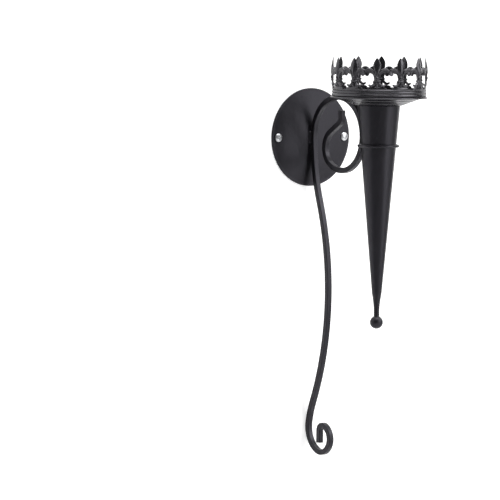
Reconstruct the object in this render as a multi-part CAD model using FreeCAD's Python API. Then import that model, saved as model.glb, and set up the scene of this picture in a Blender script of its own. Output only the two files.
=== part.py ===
"""Torch sconce: a scrolled square bar on a round wall plate holds a tapered torch in a wire ring.

Millimetres. The origin is the centre of the wall plate, on the wall. The wall is the plane
y = 0, the sconce stands out from it towards -Y, and +Z is up. "Out" is the distance from
the wall, so a point at (out, up) in the plane of the scroll is at (0, -out, up).
"""
import FreeCAD, Part
import math
import os
from FreeCAD import Vector

# ---- wall plate: a round pressed disc with a flat border and a low dome
plate_r = 56.0
plate_sheet = 1.5
plate_border = 3.0
plate_dome = 2.7
plate_edge_round = 0.5

# ---- the two wall screws
screw_pitch = 95.0
screw_head_r = 4.7
screw_head_h = 3.0
screw_neck_r = 2.2
screw_shank_r = 2.4
screw_length = 38.0
screw_point = 6.0
screw_hole_gap = 0.3
screw_recess = 5.4
screw_recess_w = 1.0
screw_recess_deep = 1.7

# ---- scroll bar: square section, bent flat in the plane x = 0
# Each bend is (radius, degrees). A positive bend curls the bar away from the wall.
# The bar stands upright on the dome at upright_up.
bar = 6.0
bar_edge_round = 0.6
upright_up = 1.5
top_bend = (45.7, 103.5)
over_bend = (43.4, 105.4)
inner_bend = (36.4, 99.5)
hook_bend = (21.7, 109.2)
hook_straight = 18.9
hook_reverse_bend = (6.8, -57.6)
hook_end = 9.2
tail_out_bend = (235.0, 18.8)
tail_back_radius = 318.0
foot_ease_radius = 117.0
foot_ease_left = 11.6
foot_bend = (29.7, 77.9)
curl_bend = (15.8, 186.0)
curl_inner_radius = 6.3
curl_end = 14.1

# ---- the bead that welds the bar to the plate
plate_bead_r = 2.0
plate_bead_long = 14.0

# ---- wire ring that the torch drops into
wire = 3.3
ring_drop = 5.5
ring_seat_gap = 0.3
ring_weld_gap = 2.2
ring_weld_r = 2.6

# ---- torch cone: rolled sheet, tapering to a thin neck
mouth_above_ring = 44.8
mouth_r = 23.9
cone_sheet = 0.8
taper_long = 210.0
taper_end_r = 5.5
neck_ease = 19.0
neck_r = 3.1
neck_long = 8.0

# ---- ball under the neck
ball_r = 7.3
spigot_long = 12.0
spigot_gap = 0.08

# ---- cap in the cone's mouth, and the screw that holds the pan on it
cap_sheet = 1.5
cap_gap = 0.15
pan_screw_r = 2.5
pan_screw_gap = 0.2
pan_screw_head_r = 4.5
pan_screw_land = 0.3
pan_screw_below = 0.1
pan_screw_seat_gap = 0.06
pan_screw_end = 3.0
nut_flats = 8.0
nut_h = 4.0

# ---- candle pan: a spun dish with two steps and a rolled rim
pan_sheet = 1.0
pan_floor_r = 23.5
pan_lip = 2.4
pan_deep = 10.2
pan_rim_bead = 0.9
pan_flange = 4.6
pan_steps = 2
pan_step = 0.5

# ---- gallery: a ribbed band with fleurs-de-lis standing on it
gallery_r = 52.4
gallery_sheet = 1.1
band_h = 9.6
band_ribs = 3
band_rib_deep = 0.7
fleurs = 12
fleur_h = 35.2
fleur_petal_w = 7.8
fleur_turn = 18.9
knot_h = 10.4
knot_w = 4.6
knot_tall = 2.8
knot_proud = 0.8
seam_turn = 49.0
seam_w = 3.2
seam_proud = 0.6


def out_up(out, up, x=0.0):
    return Vector(x, -out, up)


def polar(radius, degrees):
    return radius * math.cos(math.radians(degrees)), radius * math.sin(math.radians(degrees))


def revolve_z(points, centre_out):
    """Turn a closed profile of (radius, up) points round the upright axis at centre_out."""
    profile = Part.Face(Part.makePolygon([out_up(centre_out, up, r) for r, up in points + points[:1]]))
    return profile.revolve(out_up(centre_out, 0), Vector(0, 0, 1), 360)


def cylinder_out(radius, start_out, end_out, x=0.0, up=0.0):
    """A round bar square to the wall, from one distance out to another."""
    return Part.makeCylinder(radius, end_out - start_out, out_up(start_out, up, x), Vector(0, -1, 0))


# ---------------------------------------------------------------- wall plate
dome_r = plate_r - plate_border
dome_sphere = (dome_r ** 2 + plate_dome ** 2) / (2 * plate_dome)


def dome_front(radius):
    """How far out the plate's front is, at a radius from its centre."""
    return plate_sheet + plate_dome - dome_sphere + math.sqrt(dome_sphere ** 2 - radius ** 2)


def plate_arc(lift):
    """The dome's arc from the border to the centre, lifted off the wall."""
    middle = dome_r / 2
    return Part.Arc(Vector(dome_r, -lift, 0),
                    Vector(middle, -(dome_front(middle) - plate_sheet + lift), 0),
                    Vector(0, -(plate_dome + lift), 0)).toShape()


def line(a, b):
    return Part.LineSegment(a, b).toShape()


plate_front = plate_sheet + plate_dome
seat_level = dome_front(screw_pitch / 2)


def build_back_plate():
    back = plate_arc(0.0)
    front = plate_arc(plate_sheet)
    rim = Vector(plate_r, 0, 0)
    rim_round = Vector(plate_r, -(plate_sheet - plate_edge_round), 0)
    rim_front = Vector(plate_r - plate_edge_round, -plate_sheet, 0)
    round_mid = rim_round + Vector(-plate_edge_round, 0, 0) + Vector(
        plate_edge_round * math.sqrt(0.5), -plate_edge_round * math.sqrt(0.5), 0)
    outline = [
        back,
        line(Vector(dome_r, 0, 0), rim),
        line(rim, rim_round),
        Part.Arc(rim_round, round_mid, rim_front).toShape(),
        line(rim_front, Vector(dome_r, -plate_sheet, 0)),
        front,
        line(Vector(0, -plate_front, 0), Vector(0, -plate_dome, 0)),
    ]
    plate = Part.Face(Part.Wire(Part.__sortEdges__(outline)))
    plate = plate.revolve(Vector(0, 0, 0), Vector(0, 1, 0), 360)
    for side in (-1, 1):
        x = side * screw_pitch / 2
        hole = cylinder_out(screw_shank_r + screw_hole_gap, -1.0, plate_front + 1.0, x)
        seat = cylinder_out(screw_head_r + screw_hole_gap, seat_level, plate_front + 1.0, x)
        plate = plate.cut(hole).cut(seat)
    return plate


def build_wall_screw(x):
    """A pan-head screw: domed head with a cross recess, a neck in the plate, a shank and a point."""
    top = seat_level + screw_head_h
    side_h = screw_head_h * 0.45
    rim = Vector(screw_head_r, -(seat_level + side_h), 0)
    crown = Part.Arc(rim, Vector(screw_head_r * 0.6, -(top - 0.18 * screw_head_h), 0),
                     Vector(0, -top, 0)).toShape()
    outline = [
        crown,
        line(Vector(0, -top, 0), Vector(0, screw_length, 0)),
        line(Vector(0, screw_length, 0), Vector(screw_shank_r, screw_length - screw_point, 0)),
        line(Vector(screw_shank_r, screw_length - screw_point, 0), Vector(screw_shank_r, 0, 0)),
        line(Vector(screw_shank_r, 0, 0), Vector(screw_neck_r, 0, 0)),
        line(Vector(screw_neck_r, 0, 0), Vector(screw_neck_r, -seat_level, 0)),
        line(Vector(screw_neck_r, -seat_level, 0), Vector(screw_head_r, -seat_level, 0)),
        line(Vector(screw_head_r, -seat_level, 0), rim),
    ]
    screw = Part.Face(Part.Wire(Part.__sortEdges__(outline)))
    screw = screw.revolve(Vector(0, 0, 0), Vector(0, 1, 0), 360)
    for across, tall in ((screw_recess, screw_recess_w), (screw_recess_w, screw_recess)):
        slot = Part.makeBox(across, screw_recess_deep + 1.0, tall,
                            Vector(-across / 2, -(top + 1.0), -tall / 2))
        screw = screw.cut(slot)
    screw.translate(Vector(x, 0, 0))
    return screw


# ---------------------------------------------------------------- scroll bar
bar_out = plate_front + bar / 2


def foot_lean():
    """How far the tail leans back to the wall, so that its foot just touches the wall."""
    out_r, out_turn = tail_out_bend
    foot_r = foot_bend[0]
    turn = math.cos(math.radians(out_turn))
    left = math.cos(math.radians(foot_ease_left))
    needed = (bar / 2 - bar_out - out_r * (1 - turn) + tail_back_radius * turn
              + foot_ease_radius * left - foot_r * (left - 1))
    return math.degrees(math.acos(needed / (tail_back_radius + foot_ease_radius)))


def tail_bends():
    lean = foot_lean()
    so_far = foot_bend[1] + curl_bend[1] - foot_ease_left
    return [
        tail_out_bend,
        (tail_back_radius, -(tail_out_bend[1] + lean)),
        (foot_ease_radius, lean - foot_ease_left),
        foot_bend,
        curl_bend,
        (curl_inner_radius, 360.0 - so_far),
        (curl_end, None),
    ]


def scroll_bends():
    return [
        top_bend,
        over_bend,
        inner_bend,
        hook_bend,
        (hook_straight, None),
        hook_reverse_bend,
        (hook_end, None),
    ]


def walk(bends, upwards):
    """Edges of a bent line from the plate's centre, up or down, and where it ends."""
    flip = 1.0 if upwards else -1.0
    out, up, heading = bar_out, flip * upright_up, 0.0
    edges = []

    def ahead(radius, turn):
        """The point a part of the way round a bend from here."""
        side = math.copysign(1.0, turn)
        a0 = math.radians(heading)
        a1 = math.radians(heading + turn)
        return (out + side * radius * (math.cos(a0) - math.cos(a1)),
                up + side * radius * (math.sin(a1) - math.sin(a0)))

    for size, turn in bends:
        start = out_up(out, flip * up)
        if turn is None:
            a0 = math.radians(heading)
            out, up = out + size * math.sin(a0), up + size * math.cos(a0)
            edges.append(line(start, out_up(out, flip * up)))
            continue
        middle = ahead(size, turn / 2)
        end = ahead(size, turn)
        edges.append(Part.Arc(start, out_up(middle[0], flip * middle[1]),
                              out_up(end[0], flip * end[1])).toShape())
        out, up = end
        heading += turn
    return edges, out_up(out, flip * up)


def rounded_square(centre, side, corner):
    """A square wire with rounded corners, level, centred on a point."""
    box = Part.makeBox(side, side, 1.0, centre - Vector(side / 2, side / 2, 0))
    upright = [e for e in box.Edges if abs(e.tangentAt(e.FirstParameter).z) > 0.9]
    rounded = box.makeFillet(corner, upright)
    foot = min(rounded.Faces, key=lambda face: face.CenterOfMass.z)
    return foot.OuterWire


def build_scroll_bar():
    upper, hook_tip = walk(scroll_bends(), True)
    lower, curl_tip = walk(tail_bends(), False)
    path = Part.Wire(Part.__sortEdges__(list(reversed(upper)) + lower))
    sweep = Part.BRepOffsetAPI.MakePipeShell(path)
    sweep.setBiNormalMode(Vector(1, 0, 0))
    sweep.add(rounded_square(hook_tip, bar, bar_edge_round))
    sweep.build()
    sweep.makeSolid()
    solid = sweep.shape()
    section = bar ** 2 - (4 - math.pi) * bar_edge_round ** 2
    print("scroll bar: length %.1f, volume %.1f, section times length %.1f"
          % (path.Length, solid.Volume, section * path.Length))
    return solid


def build_plate_beads(plate, scroll):
    """The two weld beads beside the bar, where it lies on the top of the dome."""
    beads = []
    straight = plate_bead_long - 2 * plate_bead_r
    under = bar - 2 * bar_edge_round
    under_bar = Part.makeBox(under, plate_front + bar, plate_bead_long,
                             out_up(plate_front + bar, -plate_bead_long / 2, -under / 2))
    for side in (-1, 1):
        low = out_up(plate_front, -straight / 2, side * bar / 2)
        high = out_up(plate_front, straight / 2, side * bar / 2)
        bead = Part.makeCylinder(plate_bead_r, straight, low)
        bead = bead.fuse(Part.makeSphere(plate_bead_r, low)).fuse(Part.makeSphere(plate_bead_r, high))
        bead = bead.cut(under_bar).cut(plate).cut(scroll)
        beads.append(max(bead.Solids, key=lambda solid: abs(solid.CenterOfMass.x)))
    return Part.makeCompound(beads)


# ---------------------------------------------------------------- ring and torch places
ring_up = -ring_drop
mouth_up = ring_up + mouth_above_ring
cone_slope = (mouth_r - taper_end_r) / taper_long


def cone_radius(up):
    """The cone's outer radius at a height, on its straight taper."""
    return mouth_r - (mouth_up - up) * cone_slope


wire_r = wire / 2
ring_r = cone_radius(ring_up) + (wire_r + ring_seat_gap) * math.hypot(1, cone_slope)
top_r, top_turn = top_bend
over_r = over_bend[0]
over_out = bar_out + top_r - (top_r - over_r) * math.cos(math.radians(top_turn))
over_up = upright_up + (top_r - over_r) * math.sin(math.radians(top_turn))
limb_reach = over_r + bar / 2 + ring_weld_gap + wire_r
ring_near_out = over_out + math.sqrt(limb_reach ** 2 - (over_up - ring_up) ** 2)
torch_out = ring_near_out + ring_r


def build_torch_ring():
    return Part.makeTorus(ring_r, wire_r, out_up(torch_out, ring_up), Vector(0, 0, 1))


def build_ring_weld(ring, scroll):
    """The weld that fills between the ring and the bar."""
    weld = Part.makeSphere(ring_weld_r, out_up(ring_near_out - wire_r - ring_weld_gap / 2, ring_up))
    weld = weld.cut(ring).cut(scroll)
    clear = Part.makeCylinder(cone_radius(ring_up) + 1.2, 4 * wire,
                              out_up(torch_out, ring_up - 2 * wire), Vector(0, 0, 1))
    weld = weld.cut(clear)
    return max(weld.Solids, key=lambda solid: solid.Volume)


# ---------------------------------------------------------------- torch cone and ball
taper_end_up = mouth_up - taper_long
neck_up = taper_end_up - neck_ease
neck_end_up = neck_up - neck_long


def build_torch_cone():
    """Rolled sheet: straight taper, a short ease into the neck, then a straight neck."""
    def wall(inset):
        top = out_up(torch_out, mouth_up, mouth_r - inset)
        low = out_up(torch_out, taper_end_up, taper_end_r - inset)
        ease = out_up(torch_out, taper_end_up - neck_ease * 0.52,
                      (taper_end_r + neck_r) / 2 - 0.32 - inset)
        neck = out_up(torch_out, neck_up, neck_r - inset)
        end = out_up(torch_out, neck_end_up, neck_r - inset)
        return [line(top, low), Part.Arc(low, ease, neck).toShape(), line(neck, end)], top, end
    outer, outer_top, outer_end = wall(0.0)
    inner, inner_top, inner_end = wall(cone_sheet)
    edges = outer + inner + [line(outer_top, inner_top), line(outer_end, inner_end)]
    profile = Part.Face(Part.Wire(Part.__sortEdges__(edges)))
    return profile.revolve(out_up(torch_out, 0), Vector(0, 0, 1), 360)


ball_shoulder = math.sqrt(ball_r ** 2 - neck_r ** 2)
ball_up = neck_end_up - ball_shoulder


def build_ball_finial():
    """A ball with a flat shoulder under the neck and a spigot up inside it."""
    ball = Part.makeSphere(ball_r, out_up(torch_out, ball_up))
    above = Part.makeCylinder(ball_r, ball_r, out_up(torch_out, neck_end_up))
    spigot = Part.makeCylinder(neck_r - cone_sheet - spigot_gap, spigot_long + 1.0,
                               out_up(torch_out, neck_end_up - 1.0))
    return ball.cut(above).fuse(spigot)


# ---------------------------------------------------------------- pan and its fastening
pan_rim_r = gallery_r + pan_lip
pan_floor_up = mouth_up + pan_sheet
flange_up = mouth_up + pan_deep
screw_top = pan_floor_up - pan_screw_below


def countersink_r(up):
    """The radius of the seat for the screw's tapered head, at a height."""
    return pan_screw_head_r + pan_screw_seat_gap * math.sqrt(2) + up - (screw_top - pan_screw_land)


def build_candle_pan():
    """A spun dish: flat floor, a shallow stepped slope, a flat flange and a rolled rim."""
    slope_end_r = pan_rim_r - pan_flange - pan_rim_bead
    rise = pan_deep - pan_sheet - pan_steps * pan_step
    run = slope_end_r - pan_floor_r
    under = [(pan_floor_r, mouth_up)]
    for i in range(pan_steps):
        r = pan_floor_r + run * (i + 1) / (pan_steps + 1)
        up = mouth_up + rise * (i + 1) / (pan_steps + 1) + i * pan_step
        under += [(r, up), (r + pan_step, up + pan_step)]
    rim = pan_rim_r - pan_rim_bead
    under += [(slope_end_r, flange_up - pan_sheet), (rim, flange_up - pan_sheet)]
    upper = [(r, up + pan_sheet) for r, up in reversed(under)]
    hole = [(countersink_r(up), up) for up in (pan_floor_up, mouth_up)]
    dish = revolve_z(under + upper + hole, torch_out)
    bead = Part.makeTorus(rim, pan_rim_bead, out_up(torch_out, flange_up - pan_sheet / 2), Vector(0, 0, 1))
    return dish.fuse(bead)


def build_cone_cap():
    """A disc set in the cone's mouth, level with its rim."""
    top_r = mouth_r - cone_sheet - cap_gap
    low_r = top_r - cap_sheet * cone_slope
    hole = pan_screw_r + pan_screw_gap
    low = mouth_up - cap_sheet
    seat_r = countersink_r(mouth_up)
    return revolve_z([(hole, low), (hole, mouth_up - (seat_r - hole)), (seat_r, mouth_up),
                      (top_r, mouth_up), (low_r, low)], torch_out)


def build_pan_screw():
    """Countersunk machine screw, down through the pan, cap and nut, its head below the floor."""
    end = mouth_up - cap_sheet - nut_h - pan_screw_end
    taper_top = screw_top - pan_screw_land
    screw = revolve_z([(0.0, end), (pan_screw_r - 0.5, end), (pan_screw_r, end + 0.5),
                       (pan_screw_r, taper_top - (pan_screw_head_r - pan_screw_r)),
                       (pan_screw_head_r, taper_top), (pan_screw_head_r, screw_top), (0.0, screw_top)],
                      torch_out)
    across = pan_screw_head_r * 1.1
    for wide, deep in ((across, screw_recess_w), (screw_recess_w, across)):
        slot = Part.makeBox(wide, deep, 2 * screw_recess_deep,
                            out_up(torch_out, screw_top - screw_recess_deep) - Vector(wide / 2, deep / 2, 0))
        screw = screw.cut(slot)
    return screw


def build_cap_nut():
    top = mouth_up - cap_sheet
    corner_r = nut_flats / math.sqrt(3)
    corners = []
    for i in range(7):
        x, y = polar(corner_r, 60 * i)
        corners.append(out_up(torch_out, top - nut_h) + Vector(x, y, 0))
    nut = Part.Face(Part.makePolygon(corners)).extrude(Vector(0, 0, nut_h))
    bore = Part.makeCylinder(pan_screw_r + 0.1, nut_h + 2, out_up(torch_out, top - nut_h - 1))
    return nut.cut(bore)


# ---------------------------------------------------------------- gallery
band_up = flange_up
fleur_up = band_up + band_h


def mirrored(points):
    return [(-across, up) for across, up in reversed(points)]


def smooth_outline(side):
    """A closed outline from its right side, bottom to tip, with a pointed tip and foot."""
    def curve(points):
        spline = Part.BSplineCurve()
        spline.interpolate([Vector(across, 0, up) for across, up in points])
        return spline.toShape()
    return Part.Face(Part.Wire([curve(side), curve(mirrored(side))]))


def closed_outline(points):
    spline = Part.BSplineCurve()
    spline.interpolate([Vector(across, 0, up) for across, up in points], PeriodicFlag=True)
    return Part.Face(Part.Wire([spline.toShape()]))


def fleur_faces():
    """The flat outlines of one fleur: its centre petal, two side petals and two lower leaves.

    Heights are above the band. The side petals meet their neighbours half a pitch away.
    """
    half = gallery_r * math.sin(math.pi / fleurs)
    wide = fleur_petal_w / 2
    centre = smooth_outline([
        (0.0, knot_h - 2.2), (0.40 * wide, knot_h + 1.4), (0.46 * wide, knot_h + 4.6),
        (0.86 * wide, fleur_h * 0.62), (wide, fleur_h * 0.76), (0.56 * wide, fleur_h * 0.91),
        (0.0, fleur_h)])
    side = [
        (0.6, knot_h - 0.6), (3.0, knot_h + 1.5), (4.6, knot_h + 4.4), (7.0, knot_h + 6.0),
        (9.6, knot_h + 5.0), (half - 2.6, knot_h + 3.0), (half - 0.4, knot_h + 1.4),
        (half + 0.35, knot_h + 4.6), (half + 0.1, knot_h + 9.0), (half - 2.0, knot_h + 12.2),
        (half - 5.4, knot_h + 13.6), (5.4, knot_h + 11.8), (2.2, knot_h + 7.4), (0.5, knot_h + 2.6)]
    leaf = [
        (0.4, knot_h + 0.4), (2.2, knot_h - 2.6), (4.6, knot_h - 4.8), (7.6, knot_h - 4.6),
        (9.0, knot_h - 5.6), (8.8, knot_h - 7.6), (6.6, knot_h - 9.4), (4.6, knot_h - 10.8),
        (0.4, knot_h - 11.0), (-0.6, knot_h - 5.0)]
    faces = [centre]
    for points in (side, leaf):
        faces.append(closed_outline(points))
        faces.append(closed_outline(mirrored(points)))
    return faces


def band_seam():
    """The band's lapped end, a little proud of its ribs."""
    centre = out_up(torch_out, band_up)
    lap = Part.makeCylinder(gallery_r + seam_proud, band_h, centre)
    lap = lap.cut(Part.makeCylinder(gallery_r - band_rib_deep, band_h, centre))
    strip = Part.makeBox(seam_w, 4 * band_rib_deep + seam_proud, band_h,
                         centre + Vector(-seam_w / 2, -gallery_r - seam_proud, 0))
    lap = lap.common(strip)
    lap.rotate(centre, Vector(0, 0, 1), seam_turn)
    return lap


def build_crown_gallery():
    centre = out_up(torch_out, 0)
    inner_r = gallery_r - gallery_sheet
    shell = Part.makeCylinder(gallery_r, fleur_h + 2.0, centre + Vector(0, 0, fleur_up - 1.0))
    shell = shell.cut(Part.makeCylinder(inner_r, fleur_h + 4.0, centre + Vector(0, 0, fleur_up - 2.0)))

    cutter = None
    for face in fleur_faces():
        face.translate(centre + Vector(0, -inner_r + 6.0, fleur_up))
        petal = face.extrude(Vector(0, -12.0, 0))
        cutter = petal if cutter is None else cutter.fuse(petal)
    fleur = cutter.common(shell)
    knot = Part.makeBox(knot_w, gallery_sheet + knot_proud, knot_tall)
    knot.translate(centre + Vector(-knot_w / 2, -gallery_r - knot_proud, fleur_up + knot_h - knot_tall / 2))
    knot = knot.makeFillet(0.7, [e for e in knot.Edges if e.CenterOfMass.y < centre.y - gallery_r])
    fleur = fleur.fuse(knot)

    rib = band_h / band_ribs
    profile = [(inner_r, band_up), (gallery_r, band_up)]
    for i in range(band_ribs):
        low = band_up + i * rib
        profile += [(gallery_r, low + 0.62 * rib), (gallery_r - band_rib_deep, low + 0.78 * rib),
                    (gallery_r - band_rib_deep, low + 0.86 * rib), (gallery_r, low + rib)]
    profile.append((inner_r, band_up + band_h))
    band = revolve_z(profile, torch_out)
    band = band.fuse(band_seam())

    copies = []
    for i in range(fleurs):
        copy = fleur.copy()
        copy.rotate(centre, Vector(0, 0, 1), fleur_turn + i * 360.0 / fleurs)
        copies.append(copy)
    return band.multiFuse(copies)


# ---------------------------------------------------------------- write the parts
back_plate = build_back_plate()
scroll_bar = build_scroll_bar()
torch_ring = build_torch_ring()
nodes = {
    "back_plate": back_plate,
    "wall_screws": Part.makeCompound([build_wall_screw(side * screw_pitch / 2) for side in (-1, 1)]),
    "scroll_bar": scroll_bar,
    "plate_weld_beads": build_plate_beads(back_plate, scroll_bar),
    "torch_ring": torch_ring,
    "ring_weld": build_ring_weld(torch_ring, scroll_bar),
    "torch_cone": build_torch_cone(),
    "ball_finial": build_ball_finial(),
    "cone_cap": build_cone_cap(),
    "cap_nut": build_cap_nut(),
    "candle_pan": build_candle_pan(),
    "pan_screw": build_pan_screw(),
    "crown_gallery": build_crown_gallery(),
}

os.makedirs("parts", exist_ok=True)
for name, shape in nodes.items():
    shape.exportStep(os.path.join("parts", name + ".step"))
    print("%-18s solids %d  valid %s  volume %.0f" % (name, len(shape.Solids), shape.isValid(), shape.Volume))
print("torch axis %.1f out, ring at %.1f, mouth at %.1f, ball at %.1f"
      % (torch_out, ring_up, mouth_up, ball_up))
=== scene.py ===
import bpy
from math import radians, sin, cos, atan2, pi
from mathutils import Vector, Matrix


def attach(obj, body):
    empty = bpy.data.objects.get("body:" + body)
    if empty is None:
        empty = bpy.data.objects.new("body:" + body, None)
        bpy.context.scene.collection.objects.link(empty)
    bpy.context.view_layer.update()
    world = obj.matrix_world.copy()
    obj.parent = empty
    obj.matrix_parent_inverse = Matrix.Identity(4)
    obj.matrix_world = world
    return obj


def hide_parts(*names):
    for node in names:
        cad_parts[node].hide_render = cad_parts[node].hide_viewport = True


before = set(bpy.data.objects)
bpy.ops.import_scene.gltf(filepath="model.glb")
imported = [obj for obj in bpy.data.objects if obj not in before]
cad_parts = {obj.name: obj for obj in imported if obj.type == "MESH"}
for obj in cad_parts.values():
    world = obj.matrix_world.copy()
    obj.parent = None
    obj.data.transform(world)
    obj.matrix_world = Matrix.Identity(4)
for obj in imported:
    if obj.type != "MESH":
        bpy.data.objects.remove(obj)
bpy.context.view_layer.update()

mm = 0.001
print("frame loaded:", sorted(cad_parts))


def clearSelection():
    if bpy.context.mode != "OBJECT":
        bpy.ops.object.mode_set(mode="OBJECT")
    bpy.ops.object.select_all(action="DESELECT")


def makeActive(obj):
    clearSelection()
    obj.select_set(True)
    bpy.context.view_layer.objects.active = obj


def applyModifier(obj, kind, **settings):
    makeActive(obj)
    modifier = obj.modifiers.new(kind.title(), kind)
    for name, value in settings.items():
        setattr(modifier, name, value)
    bpy.ops.object.modifier_apply(modifier=modifier.name)


class Value:
    # a number that flows between nodes; sums and products of it add Math nodes
    def __init__(self, tree, socket):
        self.tree = tree
        self.socket = socket

    def maths(self, operation, first, second):
        node = self.tree.nodes.new("ShaderNodeMath")
        node.operation = operation
        for slot, part in zip(node.inputs, (first, second)):
            if isinstance(part, Value):
                self.tree.links.new(part.socket, slot)
            else:
                slot.default_value = part
        return Value(self.tree, node.outputs[0])

    def __add__(self, other):
        return self.maths("ADD", self, other)

    def __radd__(self, other):
        return self.maths("ADD", other, self)

    def __sub__(self, other):
        return self.maths("SUBTRACT", self, other)

    def __rsub__(self, other):
        return self.maths("SUBTRACT", other, self)

    def __mul__(self, other):
        return self.maths("MULTIPLY", self, other)

    def __rmul__(self, other):
        return self.maths("MULTIPLY", other, self)


class Finish:
    # one material and its nodes
    def __init__(self, name):
        self.material = bpy.data.materials.new(name)
        self.material.use_nodes = True
        self.tree = self.material.node_tree
        self.shader = self.tree.nodes["Principled BSDF"]
        self.output = self.tree.nodes["Material Output"]

    def node(self, kind, settings=None, sockets=None, result=0):
        node = self.tree.nodes.new(kind)
        for name, value in (settings or {}).items():
            setattr(node, name, value)
        for name, value in (sockets or {}).items():
            self.feed(node.inputs[name], value)
        return Value(self.tree, node.outputs[result])

    def feed(self, slot, value):
        if isinstance(value, Value):
            self.tree.links.new(value.socket, slot)
        else:
            slot.default_value = value

    def mixColours(self, share, first, second):
        node = self.tree.nodes.new("ShaderNodeMix")
        node.data_type = "RGBA"
        self.feed(node.inputs["Factor"], share)
        for slot, colour in ((node.inputs[6], first), (node.inputs[7], second)):
            self.feed(slot, colour if isinstance(colour, Value) else (*colour, 1.0))
        return Value(self.tree, node.outputs[2])

    def surface(self, **values):
        for name, value in values.items():
            slot = self.shader.inputs[name.replace("_", " ")]
            if not isinstance(value, Value) and name.endswith("Color"):
                value = (*value, 1.0)
            self.feed(slot, value)


# the same powder coat, thin and satin on the bar, plate and cone, glossier on the crown and its pan
blackPaint = {
    "coats": {
        "blackPowderCoat": {"roughness": 0.37, "shine": 0.5, "tint": (0.90, 0.87, 1.0)},
        "blackGlossCoat": {"roughness": 0.24, "shine": 1.0, "tint": (0.95, 0.93, 1.0)},
    },
    "colour": (0.0062, 0.0061, 0.0076),
    "colourWorn": (0.0095, 0.0093, 0.0114),
    "roughnessSpread": 0.07,
    "grain": 2400.0,        # powder texture, per metre
    "grainDepth": 0.00005,
    "flow": 260.0,          # slow waves of the coat, per metre
    "flowDepth": 0.00012,
    "cloud": 45.0,          # patches where the coat is thinner, per metre
}


def makeBlackPaint(name):
    paint = Finish(name)
    coat = blackPaint["coats"][name]
    place = paint.node("ShaderNodeTexCoord", result="Object")
    grain = paint.node("ShaderNodeTexNoise", None, {
        "Vector": place, "Scale": blackPaint["grain"], "Detail": 3.0, "Roughness": 0.6})
    flow = paint.node("ShaderNodeTexNoise", None, {
        "Vector": place, "Scale": blackPaint["flow"], "Detail": 2.0})
    cloud = paint.node("ShaderNodeTexNoise", None, {
        "Vector": place, "Scale": blackPaint["cloud"], "Detail": 4.0, "Roughness": 0.6})
    colour = paint.mixColours(cloud, blackPaint["colour"], blackPaint["colourWorn"])
    spread = blackPaint["roughnessSpread"]
    rough = (coat["roughness"] - spread) + cloud * spread + grain * spread
    waves = paint.node("ShaderNodeBump", None, {
        "Height": flow, "Distance": blackPaint["flowDepth"], "Strength": 1.0})
    bump = paint.node("ShaderNodeBump", None, {
        "Height": grain, "Distance": blackPaint["grainDepth"], "Strength": 1.0, "Normal": waves})
    paint.surface(Base_Color=colour, Roughness=rough, Normal=bump)
    paint.shader.inputs["Specular IOR Level"].default_value = coat["shine"]
    paint.shader.inputs["Specular Tint"].default_value = (*coat["tint"], 1.0)
    return paint.material


zincPlate = {
    "colour": (0.90, 0.91, 0.93),
    "colourDull": (0.68, 0.69, 0.71),
    "roughness": 0.30,
    "roughnessSpread": 0.12,
    "cloud": 700.0,         # per metre
    "cloudDepth": 0.00004,
}


def makeZinc():
    zinc = Finish("brightZinc")
    place = zinc.node("ShaderNodeTexCoord", result="Object")
    cloud = zinc.node("ShaderNodeTexNoise", None, {
        "Vector": place, "Scale": zincPlate["cloud"], "Detail": 3.0})
    colour = zinc.mixColours(cloud, zincPlate["colour"], zincPlate["colourDull"])
    bump = zinc.node("ShaderNodeBump", None, {"Height": cloud, "Distance": zincPlate["cloudDepth"]})
    rough = zincPlate["roughness"] + cloud * zincPlate["roughnessSpread"]
    zinc.surface(Base_Color=colour, Roughness=rough, Normal=bump, Metallic=1.0)
    return zinc.material


satinCoat = makeBlackPaint("blackPowderCoat")
glossCoat = makeBlackPaint("blackGlossCoat")
brightZinc = makeZinc()
nodeSmoothAngle = 32
nodeFinish = {"wall_screws": brightZinc, "cap_nut": brightZinc, "pan_screw": brightZinc,
              "candle_pan": glossCoat}


def paintNode(obj, material):
    obj.data.materials.clear()
    obj.data.materials.append(material)


for name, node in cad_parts.items():
    paintNode(node, nodeFinish.get(name, satinCoat))
    makeActive(node)
    bpy.ops.object.shade_smooth_by_angle(angle=radians(nodeSmoothAngle))
clearSelection()
print("materials on the frame")


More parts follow.
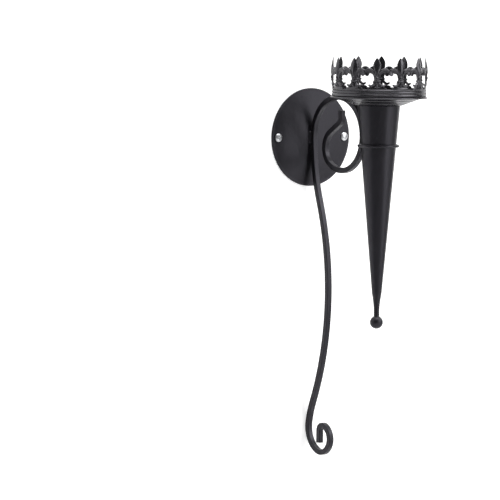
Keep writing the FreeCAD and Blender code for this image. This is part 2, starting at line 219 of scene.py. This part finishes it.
# ribbed band and twelve fleurs-de-lis, all in millimetres until they are put in place
crown = {
    "radius": 52.4,            # outside of the band
    "back": 1.0,               # how far inside that the fleurs' backs are
    "bandTop": 59.1,
    "bandFoot": 49.5,
    "fleurs": 12,
    "turn": 18.4,              # degrees from the front to the first fleur
    "axisOut": 124.8,
    # across, up, half width, thickness
    "centrePetal": [(0, 9.8, 1.2, 1.4), (0, 12.4, 1.8, 2.2), (0, 15.2, 2.2, 2.9), (0, 18.0, 2.9, 3.4),
                    (0, 21.0, 3.9, 3.5), (0, 24.0, 4.7, 3.2), (0, 26.8, 4.95, 2.7), (0, 29.3, 4.3, 2.1),
                    (0, 31.6, 3.2, 1.5), (0, 33.5, 1.9, 1.0), (0, 34.9, 0.8, 0.7), (0, 35.3, 0.15, 0.5)],
    "sidePetal": [(1.9, 7.6, 0.9, 1.4), (1.9, 10.0, 1.35, 1.9), (2.0, 12.5, 1.4, 2.1),
                  (2.5, 15.1, 1.5, 2.3), (3.5, 17.7, 1.7, 2.4), (5.0, 19.9, 2.3, 2.5),
                  (7.1, 21.2, 2.9, 2.6), (9.3, 21.2, 3.3, 2.6), (11.0, 19.9, 3.6, 2.5),
                  (11.3, 18.0, 3.5, 2.3), (10.4, 16.2, 2.6, 2.1), (9.4, 14.6, 1.4, 1.6)],
    "leaf": [(0.9, 10.4, 1.1, 1.5), (1.4, 8.4, 1.6, 2.1), (2.4, 6.4, 1.7, 2.4), (3.9, 4.8, 1.75, 2.5),
             (5.7, 3.8, 1.7, 2.5), (7.5, 3.9, 1.6, 2.3), (8.9, 4.9, 1.35, 2.0), (9.6, 6.4, 0.8, 1.6)],
    "foot": [(0, 9.5, 1.0, 1.6), (0, 7.0, 1.7, 2.3), (0, 4.5, 1.7, 2.2), (0, 2.4, 1.9, 2.0),
             (0, -1.0, 2.8, 1.4)],
    "base": [(-11.4, 0.5, 0.6, 0.8), (-10.0, 0.7, 1.5, 1.2), (-6.0, 0.9, 1.9, 1.4), (0, 1.0, 2.0, 1.5),
             (6.0, 0.9, 1.9, 1.4), (10.0, 0.7, 1.5, 1.2), (11.4, 0.5, 0.6, 0.8)],
    "bead": [(0, 9.2, 1.0, 2.4), (0, 10.8, 1.8, 3.2), (0, 12.6, 2.0, 3.5), (0, 14.2, 1.5, 3.0),
             (0, 15.8, 0.6, 2.1)],
    "collar": [(-4.6, 9.3, 0.6, 1.3), (-3.9, 9.3, 1.2, 2.2), (-2.0, 9.25, 1.45, 2.9), (0, 9.2, 1.5, 3.1),
               (2.0, 9.25, 1.45, 2.9), (3.9, 9.3, 1.2, 2.2), (4.6, 9.3, 0.6, 1.3)],
    # cross sections, back to front: share of the half width, share of the thickness
    "keel": [(-0.9, 0), (0, 0), (0.9, 0), (1, 0.42), (0.5, 0.7), (0, 1), (-0.5, 0.7), (-1, 0.42)],
    "rimmed": [(-0.9, 0), (0, 0), (0.9, 0), (1, 0.35), (0.55, 0.5), (0.05, 0.55), (-0.32, 0.72), (-0.6, 1),
               (-0.86, 0.8), (-1, 0.4)],
    "domed": [(-0.9, 0), (0, 0), (0.9, 0), (1, 0.5), (0.62, 0.88), (0, 1), (-0.62, 0.88), (-1, 0.5)],
    # radius, height above the band's foot
    "bandProfile": [(51.3, 0.0), (52.2, 0.0), (52.3, 0.9), (52.9, 1.3), (53.15, 2.2), (53.1, 3.2),
                    (52.7, 4.0), (52.1, 4.35), (52.1, 4.65), (52.7, 5.0), (53.0, 5.8), (52.95, 6.7),
                    (52.6, 7.3), (52.1, 7.65), (52.1, 7.85), (52.7, 8.1), (53.0, 8.7), (52.7, 9.3),
                    (52.1, 9.6), (51.3, 9.6)],
    "bandSteps": 192,
    # the end of the band's strip, lapped over its start
    "lap": [(0, -9.5, 0.9, 1.2), (0, -8.9, 1.1, 1.6), (0, -7.2, 1.2, 1.85), (0, -5.4, 1.2, 1.5),
            (0, -3.6, 1.2, 1.75), (0, -1.9, 1.2, 1.45), (0, -0.9, 1.1, 1.6), (0, -0.1, 0.9, 1.1)],
    "lapTurn": 47.5,
    "smoothAngle": 50,
}


def selectVerts(obj, chosen):
    # in edit mode: exactly these vertices, by number
    bpy.ops.mesh.select_mode(type="VERT")
    bpy.ops.mesh.select_all(action="DESELECT")
    bpy.ops.object.mode_set(mode="OBJECT")
    for number in chosen:
        obj.data.vertices[number].select = True
    bpy.ops.object.mode_set(mode="EDIT")


def petal(name, stations, section):
    # a closed strip that follows the stations, upright in the plane y = 0 with its relief towards -y
    across, up, half, thick = stations[0]
    bpy.ops.mesh.primitive_circle_add(vertices=len(section), radius=1.0, location=(0, 0, 0))
    piece = bpy.context.object
    piece.name = name
    for vertex, (side, deep) in zip(piece.data.vertices, section):
        vertex.co = (side * half, -deep * thick, 0.0)
    bpy.ops.object.mode_set(mode="EDIT")
    bpy.ops.mesh.select_all(action="SELECT")

    headings = []
    for i in range(len(stations)):
        before, after = stations[max(i - 1, 0)], stations[min(i + 1, len(stations) - 1)]
        headings.append(atan2(after[0] - before[0], after[1] - before[1]))

    def turn(angle, centre):
        # from up towards +x; with no window the operator turns the other way
        bpy.ops.transform.rotate(value=-angle, orient_axis="Y", orient_type="GLOBAL", center_override=centre)

    bpy.ops.transform.translate(value=(across, 0, up))
    turn(headings[0], (across, 0, up))
    for i in range(1, len(stations)):
        nextAcross, nextUp, nextHalf, nextThick = stations[i]
        step = (nextAcross - across, 0, nextUp - up)
        bpy.ops.mesh.extrude_region_move(TRANSFORM_OT_translate={"value": step})
        centre = (nextAcross, 0, nextUp)
        turn(-headings[i - 1], centre)
        bpy.ops.transform.resize(value=(nextHalf / half, nextThick / thick, 1), center_override=centre)
        turn(headings[i], centre)
        across, up, half, thick = stations[i]
    bpy.ops.mesh.merge(type="CENTER")
    selectVerts(piece, range(len(section)))
    bpy.ops.mesh.merge(type="CENTER")
    bpy.ops.mesh.select_all(action="SELECT")
    bpy.ops.mesh.normals_make_consistent(inside=False)
    bpy.ops.object.mode_set(mode="OBJECT")
    return piece


def joinPieces(name, pieces):
    clearSelection()
    for piece in pieces:
        piece.select_set(True)
    bpy.context.view_layer.objects.active = pieces[0]
    if len(pieces) > 1:
        bpy.ops.object.join()
    joined = bpy.context.object
    joined.name = name
    joined.data.name = name
    return joined


def copyOf(piece, name):
    makeActive(piece)
    bpy.ops.object.duplicate()
    twin = bpy.context.object
    twin.name = name
    return twin


def mirrorAcross(piece):
    makeActive(piece)
    bpy.ops.object.mode_set(mode="EDIT")
    bpy.ops.mesh.select_all(action="SELECT")
    bpy.ops.transform.resize(value=(-1, 1, 1), center_override=(0, 0, 0))
    bpy.ops.mesh.normals_make_consistent(inside=False)
    bpy.ops.object.mode_set(mode="OBJECT")


def lathe(name, profile, steps):
    # one circle, extruded and scaled from ring to ring, and closed back on itself
    radius, up = profile[0]
    bpy.ops.mesh.primitive_circle_add(vertices=steps, radius=radius, location=(0, 0, up))
    piece = bpy.context.object
    piece.name = name
    bpy.ops.object.transform_apply(location=True)
    bpy.ops.object.mode_set(mode="EDIT")
    bpy.ops.mesh.select_all(action="SELECT")
    for nextRadius, nextUp in profile[1:]:
        bpy.ops.mesh.extrude_region_move(TRANSFORM_OT_translate={"value": (0, 0, nextUp - up)})
        grow = nextRadius / radius
        bpy.ops.transform.resize(value=(grow, grow, 1), center_override=(0, 0, nextUp))
        radius, up = nextRadius, nextUp
    bpy.ops.mesh.select_all(action="DESELECT")
    bpy.ops.mesh.select_non_manifold()
    bpy.ops.mesh.bridge_edge_loops()
    bpy.ops.mesh.select_all(action="SELECT")
    bpy.ops.mesh.normals_make_consistent(inside=False)
    bpy.ops.object.mode_set(mode="OBJECT")
    return piece


def buildFleur():
    pieces = [petal("centrePetal", crown["centrePetal"], crown["keel"]),
              petal("foot", crown["foot"], crown["keel"]),
              petal("base", crown["base"], crown["domed"]),
              petal("bead", crown["bead"], crown["domed"]),
              petal("collar", crown["collar"], crown["domed"])]
    for part, section in (("sidePetal", "rimmed"), ("leaf", "keel")):
        right = petal(part, crown[part], crown[section])
        left = copyOf(right, part + "Left")
        mirrorAcross(left)
        pieces += [right, left]
    fleur = joinPieces("fleur", pieces)
    applyModifier(fleur, "SUBSURF", levels=1, render_levels=1)
    # bend it round the band
    width = fleur.dimensions.x
    bendRadius = crown["radius"] - crown["back"]
    applyModifier(fleur, "SIMPLE_DEFORM", deform_method="BEND", deform_axis="Z", angle=width / bendRadius)
    return fleur


def standOnBand(piece, turn):
    # from the middle out to the band, then round it
    makeActive(piece)
    bpy.ops.object.mode_set(mode="EDIT")
    bpy.ops.mesh.select_all(action="SELECT")
    bpy.ops.transform.translate(value=(0, crown["back"] - crown["radius"], crown["bandTop"]))
    bpy.ops.transform.rotate(value=-radians(turn), orient_axis="Z", orient_type="GLOBAL",
                             center_override=(0, 0, 0))
    bpy.ops.object.mode_set(mode="OBJECT")


def buildCrown():
    clearSelection()
    fleur = buildFleur()
    fleurs = []
    for i in range(crown["fleurs"]):
        one = copyOf(fleur, "fleur%d" % i)
        standOnBand(one, crown["turn"] + i * 360 / crown["fleurs"])
        fleurs.append(one)
    bpy.data.objects.remove(fleur)
    clearSelection()
    lap = petal("lap", crown["lap"], crown["domed"])
    applyModifier(lap, "SUBSURF", levels=1, render_levels=1)
    standOnBand(lap, crown["lapTurn"])
    band = lathe("band", [(r, crown["bandFoot"] + up) for r, up in crown["bandProfile"]], crown["bandSteps"])
    whole = joinPieces("fleurCrown", fleurs + [lap, band])
    bpy.ops.object.mode_set(mode="EDIT")
    bpy.ops.mesh.select_all(action="SELECT")
    bpy.ops.transform.translate(value=(0, -crown["axisOut"], 0))
    bpy.ops.transform.resize(value=(mm, mm, mm), center_override=(0, 0, 0))
    bpy.ops.object.mode_set(mode="OBJECT")
    paintNode(whole, glossCoat)
    makeActive(whole)
    bpy.ops.object.shade_smooth_by_angle(angle=radians(crown["smoothAngle"]))
    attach(whole, "torch")
    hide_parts("crown_gallery")
    print("crown: %d faces" % len(whole.data.polygons))
    return whole


buildCrown()


# as the photograph sees its right-hand sconce
photoCamera = {
    "turnPoint": (0.0, -0.06804, -0.06804),
    "azimuth": -38.5,
    "elevation": 2.9,
    "roll": 0.62,
    "distance": 5.67,
    "lens": 360.0,
    "sensor": 36.0,
    "farClip": 60.0,
    "frameWidth": 500,         # pixels
    "turnPointAside": 96.4,    # pixels right of the middle of the frame
    "turnPointAbove": 50.92,   # pixels above it
}


def placeCamera():
    look = photoCamera
    azimuth = radians(look["azimuth"])
    elevation = radians(look["elevation"])
    towards = Vector((sin(azimuth) * cos(elevation), -cos(azimuth) * cos(elevation), sin(elevation)))
    right = Vector((cos(azimuth), sin(azimuth), 0.0))
    up = towards.cross(right)
    roll = radians(look["roll"])
    right, up = right * cos(roll) + up * sin(roll), up * cos(roll) - right * sin(roll)
    lensPixels = look["frameWidth"] * look["lens"] / look["sensor"]
    aside = right * (look["turnPointAside"] / lensPixels)
    above = up * (look["turnPointAbove"] / lensPixels)
    ahead = -towards - aside - above
    ahead.normalize()
    right = ahead.cross(up).normalized()
    up = right.cross(ahead)
    place = Vector(look["turnPoint"]) + towards * look["distance"]
    bpy.ops.object.camera_add(location=place)
    camera = bpy.context.object
    camera.name = "photoCamera"
    camera.data.lens = look["lens"]
    camera.data.sensor_width = look["sensor"]
    camera.data.clip_end = look["farClip"]
    camera.matrix_world = Matrix.Translation(place) @ Matrix((right, up, -ahead)).transposed().to_4x4()
    bpy.context.scene.camera = camera


placeCamera()


# white wall behind, pale floor below, soft boxes at the sides
studio = {
    "wallWidth": 6.0,
    "wallShade": 0.92,
    "floorWidth": 18.0,
    "floorShade": 0.88,
    "floorHeight": -1.25,
    "wallGlow": 0.55,      # added white that the camera sees, on top of the light that falls there
    "glossShare": 0.30,    # how much of it gloss sees too
    "floorGlow": 0.50,
    "ambient": 0.11,
    "aim": (0.0, -0.09, -0.08),
    # name: turn from the wall's normal and height in degrees, distance, size, radiance
    "boxes": {
        "rightBoxHigh": (42, 34, 2.8, (1.7, 1.3), 4.7),
        "rightBoxLow": (42, 4, 2.8, (1.7, 1.3), 1.3),
        "frontStrip": (20, 6, 2.8, (0.9, 1.6), 2.8),
        "topBox": (-10, 76, 2.4, (2.0, 1.6), 5.0),
    },
}


def pale(name, shade, glow):
    finish = Finish(name)
    finish.surface(Base_Color=(shade, shade, shade), Roughness=0.9, Specular_IOR_Level=0.0)
    seen = finish.node("ShaderNodeLightPath", result="Is Camera Ray")
    glossy = finish.node("ShaderNodeLightPath", result="Is Glossy Ray")
    white = finish.node("ShaderNodeEmission", None, {
        "Strength": seen * glow + glossy * (glow * studio["glossShare"])})
    lit = Value(finish.tree, finish.shader.outputs[0])
    both = finish.node("ShaderNodeAddShader", None, {0: lit, 1: white})
    # clear from behind, so that a view from behind the wall still shows the back
    behind = finish.node("ShaderNodeNewGeometry", result="Backfacing")
    clear = finish.node("ShaderNodeBsdfTransparent")
    through = finish.node("ShaderNodeMixShader", None, {0: behind, 1: both, 2: clear})
    finish.feed(finish.output.inputs["Surface"], through)
    return finish.material


def addGround(name, size, place, rotation, material):
    clearSelection()
    bpy.ops.mesh.primitive_plane_add(size=size, location=place, rotation=rotation)
    ground = bpy.context.object
    ground.name = name
    bpy.ops.object.transform_apply(location=True, rotation=True, scale=True)
    ground.data.materials.append(material)


def addBox(name, turn, height, distance, size, radiance):
    away = Vector((sin(radians(turn)) * cos(radians(height)), -cos(radians(turn)) * cos(radians(height)),
                   sin(radians(height))))
    bpy.ops.object.light_add(type="AREA", location=Vector(studio["aim"]) + away * distance)
    lamp = bpy.context.object
    lamp.name = name
    lamp.data.shape = "RECTANGLE"
    lamp.data.size, lamp.data.size_y = size
    lamp.data.energy = radiance * pi * size[0] * size[1]
    lamp.rotation_euler = (-away).to_track_quat("-Z", "Y").to_euler()


def buildStudio():
    addGround("wall", studio["wallWidth"], (0, 0, 0), (pi / 2, 0, 0),
              pale("wallWhite", studio["wallShade"], studio["wallGlow"]))
    addGround("floor", studio["floorWidth"], (0, 0, studio["floorHeight"]), (0, 0, 0),
              pale("floorWhite", studio["floorShade"], studio["floorGlow"]))
    for name, box in studio["boxes"].items():
        addBox(name, *box)
    world = bpy.data.worlds.new("studio")
    bpy.context.scene.world = world
    world.use_nodes = True
    path = world.node_tree.nodes.new("ShaderNodeLightPath")
    direct = Value(world.node_tree, path.outputs["Is Camera Ray"])
    strength = direct * (1.0 - studio["ambient"]) + studio["ambient"]
    background = world.node_tree.nodes["Background"]
    background.inputs["Color"].default_value = (1, 1, 1, 1)
    world.node_tree.links.new(strength.socket, background.inputs["Strength"])
    bpy.context.scene.view_settings.view_transform = "Standard"


buildStudio()
print("camera and studio placed")
